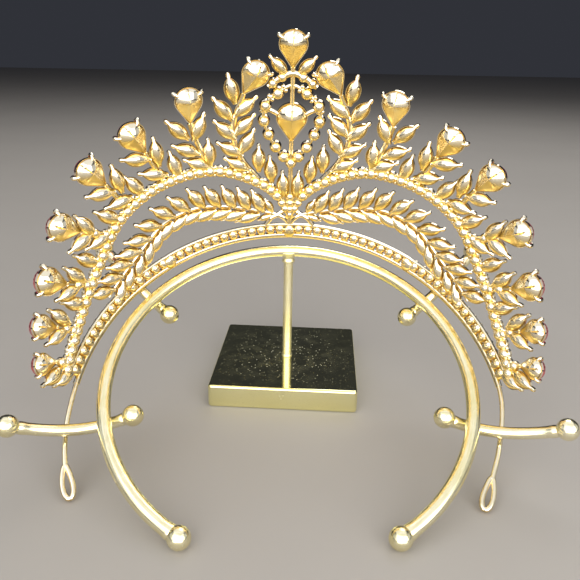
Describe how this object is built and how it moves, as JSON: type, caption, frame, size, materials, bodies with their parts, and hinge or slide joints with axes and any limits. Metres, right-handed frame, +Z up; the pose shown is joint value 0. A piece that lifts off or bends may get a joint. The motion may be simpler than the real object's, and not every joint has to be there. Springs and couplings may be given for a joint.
{
  "type": "rhinestone tiara on display stand",
  "caption": "Gold tiara of leaf sprays, beaded arches and red pear drops, resting on a plain gold wire display stand with a square base.",
  "frame": {"origin": "centre of the stand base's underside, on the table", "axes": "+Z up, +Y the way the tiara's jewelled front faces, +X to the right when seen from behind, as in the picture"},
  "size_m": [0.1758, 0.1325, 0.1353],
  "materials": {
    "tiara_gold": "polished",
    "stand_gold": "polished",
    "ruby": "cut and polished",
    "crystal": "cut, foil backed"
  },
  "bodies": {
    "root": {"stand_base": "stand_gold", "stand_post": "stand_gold", "stand_hoop": "stand_gold", "stand_arm_upper_left": "stand_gold", "stand_arm_upper_right": "stand_gold", "stand_arm_lower_left": "stand_gold", "stand_arm_lower_right": "stand_gold", "tiara_band": "tiara_gold", "tiara_spray_left": "tiara_gold", "tiara_spray_right": "tiara_gold", "tiara_centre": "tiara_gold", "stone_pendant": "ruby", "stone_top": "ruby", "stone_left_1": "ruby", "stone_left_2": "ruby", "stone_left_3": "ruby", "stone_left_4": "ruby", "stone_left_5": "ruby", "stone_left_6": "ruby", "stone_left_7": "ruby", "stone_left_8": "ruby", "stone_right_1": "ruby", "stone_right_2": "ruby", "stone_right_3": "ruby", "stone_right_4": "ruby", "stone_right_5": "ruby", "stone_right_6": "ruby", "stone_right_7": "ruby", "stone_right_8": "ruby"}
  },
  "joints": []
}
